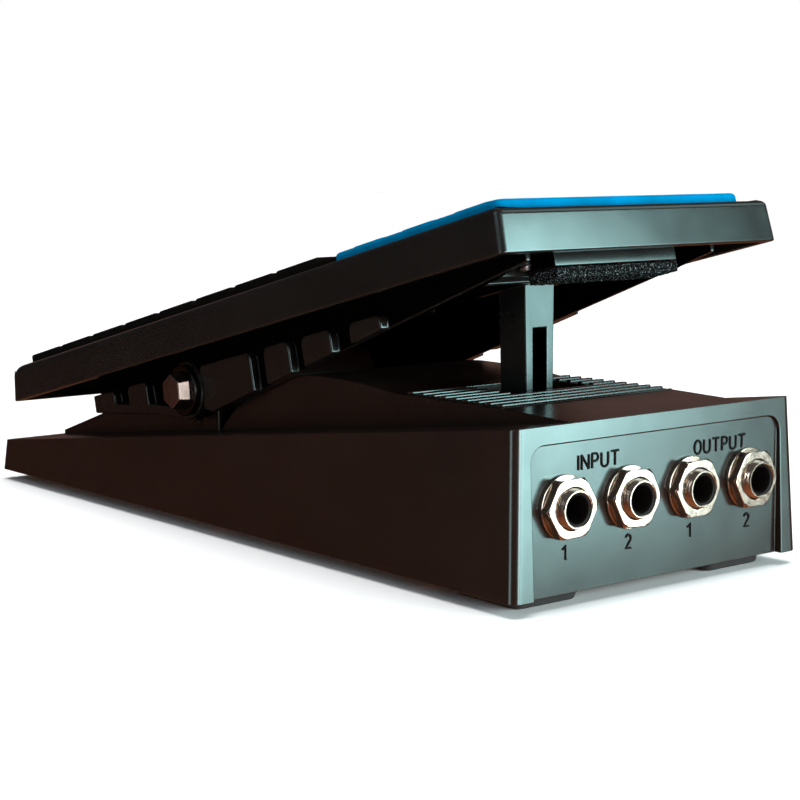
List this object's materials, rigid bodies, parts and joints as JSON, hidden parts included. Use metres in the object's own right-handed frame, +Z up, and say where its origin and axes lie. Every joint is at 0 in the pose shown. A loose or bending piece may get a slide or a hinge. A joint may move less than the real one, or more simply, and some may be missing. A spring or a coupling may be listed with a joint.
{
  "type": "volume pedal",
  "caption": "Rocker pedal with a ribbed treadle on a wedge base, a rack arm that turns a potentiometer, and jack sockets across the toe end.",
  "frame": {"origin": "on the floor, in the middle of the pedal's footprint, jack threads included", "axes": "+Z up, +Y to the heel end, -Y to the toe end with the jacks, X across"},
  "size_m": [0.094, 0.2558, 0.092],
  "materials": {
    "case_plastic": "fine satin moulded ABS",
    "treadle_plastic": "fine satin moulded ABS",
    "plate_paint": "black powder coat on sheet steel",
    "screw_steel": "zinc plated",
    "foot_rubber": "matt",
    "nickel": "nickel plated brass",
    "jack_plastic": "moulded",
    "board": "circuit board laminate",
    "bolt_black": "black oxide",
    "foam": "open-cell foam",
    "gear_nylon": "natural nylon",
    "arm_plastic": "moulded acetal",
    "pad_black": "ribbed",
    "pad_blue": "matt"
  },
  "bodies": {
    "base": {"base_case": "case_plastic", "base_plate": "plate_paint", "base_plate_screw_1": "screw_steel", "base_plate_screw_2": "screw_steel", "base_plate_screw_3": "screw_steel", "base_plate_screw_4": "screw_steel", "base_plate_screw_5": "screw_steel", "base_plate_screw_6": "screw_steel", "foot_toe_left": "foot_rubber", "foot_toe_right": "foot_rubber", "foot_heel_left": "foot_rubber", "foot_heel_right": "foot_rubber", "jack_bushing_1": "nickel", "jack_washer_1": "nickel", "jack_nut_1": "nickel", "jack_body_1": "jack_plastic", "jack_bushing_2": "nickel", "jack_washer_2": "nickel", "jack_nut_2": "nickel", "jack_body_2": "jack_plastic", "jack_bushing_3": "nickel", "jack_washer_3": "nickel", "jack_nut_3": "nickel", "jack_body_3": "jack_plastic", "jack_bushing_4": "nickel", "jack_washer_4": "nickel", "jack_nut_4": "nickel", "jack_body_4": "jack_plastic", "jack_board": "board", "hinge_bolt_left": "bolt_black", "hinge_washer_left": "bolt_black", "hinge_nut_left": "screw_steel", "hinge_bolt_right": "bolt_black", "hinge_washer_right": "bolt_black", "hinge_nut_right": "screw_steel", "heel_stop": "foam", "arm_guide": "jack_plastic", "pot_body": "screw_steel", "pot_bracket": "screw_steel", "pot_nut": "screw_steel"},
    "rocker": {"treadle": "treadle_plastic", "heel_pad": "pad_black", "toe_pad": "pad_blue", "toe_bumper": "foam", "bumper_carrier": "treadle_plastic", "bumper_screw_left": "screw_steel", "bumper_screw_right": "screw_steel", "pivot_bush_left": "gear_nylon", "pivot_bush_right": "gear_nylon"},
    "rack": {"rack_arm": "arm_plastic", "arm_pin": "screw_steel", "arm_pin_clip_left": "screw_steel", "arm_pin_clip_right": "screw_steel"},
    "pinion": {"pinion_gear": "gear_nylon", "pot_shaft": "screw_steel"}
  },
  "joints": [
    {"name": "treadle_hinge", "type": "hinge", "parent": "base", "child": "rocker", "pos_m": [0, 0.033, 0.036], "axis": [1, 0, 0], "range_deg": [0, 11.8]},
    {"name": "arm_slide", "type": "slide", "parent": "base", "child": "rack", "axis": [0, 0, 1], "range_m": [-0.0232, 0]},
    {"name": "pinion_spin", "type": "hinge", "parent": "base", "child": "pinion", "pos_m": [0, -0.0848, 0.0296], "axis": [1, 0, 0], "range_deg": [-196, 0]}
  ],
  "couplings": [
    {"joint": "arm_slide", "follows": "treadle_hinge", "m_per_rad": -0.1126},
    {"joint": "pinion_spin", "follows": "treadle_hinge", "ratio": -16.559}
  ]
}
